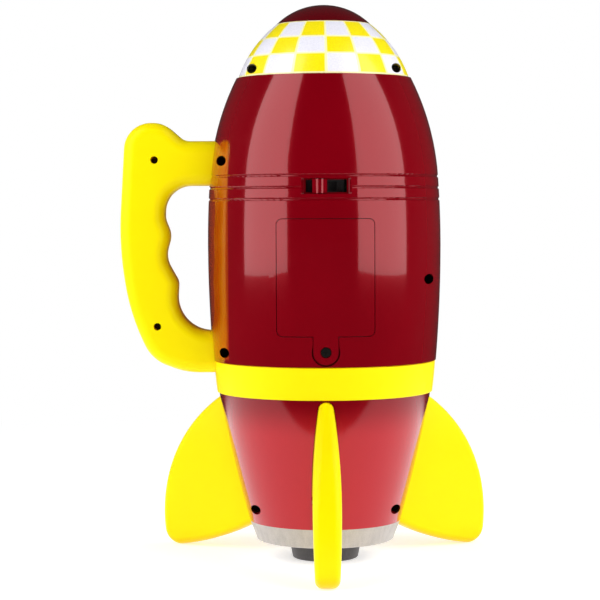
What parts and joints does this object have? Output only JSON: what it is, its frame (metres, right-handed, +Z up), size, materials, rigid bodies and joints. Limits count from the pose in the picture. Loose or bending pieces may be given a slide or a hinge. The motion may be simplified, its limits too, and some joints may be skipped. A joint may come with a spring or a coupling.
{
  "type": "toy space rocket",
  "caption": "Toy space rocket with a carry handle, tail fins, checkered nose, battery door, slide switch and round sound button.",
  "frame": {"origin": "centre of the flat underside of the nozzle, on the rocket's axis and on the ground", "axes": "+Z up the rocket to its nose, -Y towards the battery door, -X towards the carry handle"},
  "size_m": [0.2073, 0.1723, 0.309],
  "materials": {
    "red_plastic": "gloss, slightly translucent",
    "yellow_plastic": "soft gloss",
    "nose_checker": "printed yellow and white squares under gloss",
    "silver_plastic": "satin silver grey",
    "black_plastic": "satin",
    "tray_plastic": "satin",
    "button_plastic": "gloss",
    "screw_steel": "zinc plated",
    "plated_steel": "nickel plated",
    "battery_sleeve": "plain printed sleeve",
    "circuit_green": "solder mask",
    "speaker_paper": "pressed paper"
  },
  "bodies": {
    "rocket": {"battery_1": "battery_sleeve", "battery_2": "battery_sleeve", "battery_3": "battery_sleeve", "battery_contacts": "plated_steel", "battery_springs": "plated_steel", "battery_tray": "tray_plastic", "belt_back": "yellow_plastic", "belt_front": "yellow_plastic", "board_screws": "screw_steel", "button_board": "circuit_green", "button_screws": "screw_steel", "button_spring": "plated_steel", "circuit_board": "circuit_green", "fin_back": "yellow_plastic", "fin_left": "yellow_plastic", "fin_right": "yellow_plastic", "handle_back": "yellow_plastic", "handle_front": "yellow_plastic", "handle_screws": "screw_steel", "nose_back": "nose_checker", "nose_cap": "red_plastic", "nose_front": "nose_checker", "nose_screws": "screw_steel", "nozzle_plug": "black_plastic", "shell_back": "red_plastic", "shell_front": "red_plastic", "shell_screws": "screw_steel", "slide_switch": "black_plastic", "sound_chip": "black_plastic", "speaker_clamp": "tray_plastic", "speaker_cone": "speaker_paper", "speaker_frame": "black_plastic", "speaker_magnet": "plated_steel", "speaker_screws": "screw_steel", "tact_switch": "black_plastic", "tail_ring": "silver_plastic", "tray_screws": "screw_steel"},
    "switch": {"switch_knob": "red_plastic", "switch_actuator": "black_plastic"},
    "battery_door": {"battery_door": "red_plastic"},
    "door_screw": {"door_screw": "screw_steel"},
    "sound_button": {"sound_button": "button_plastic"}
  },
  "joints": [
    {"name": "switch_slide", "type": "slide", "parent": "rocket", "child": "switch", "axis": [1, 0, 0], "range_m": [0, 0.006]},
    {"name": "battery_door_lift", "type": "slide", "parent": "rocket", "child": "battery_door", "axis": [0, -1, 0], "range_m": [0, 0.03]},
    {"name": "door_screw_undo", "type": "slide", "parent": "battery_door", "child": "door_screw", "axis": [0, -1, 0], "range_m": [0, 0.005]},
    {"name": "sound_button_press", "type": "slide", "parent": "rocket", "child": "sound_button", "axis": [0, -1, 0], "range_m": [0, 0.002], "stiffness_N_per_m": 400, "springref_m": -0.001, "deforming": ["button_spring"]}
  ]
}
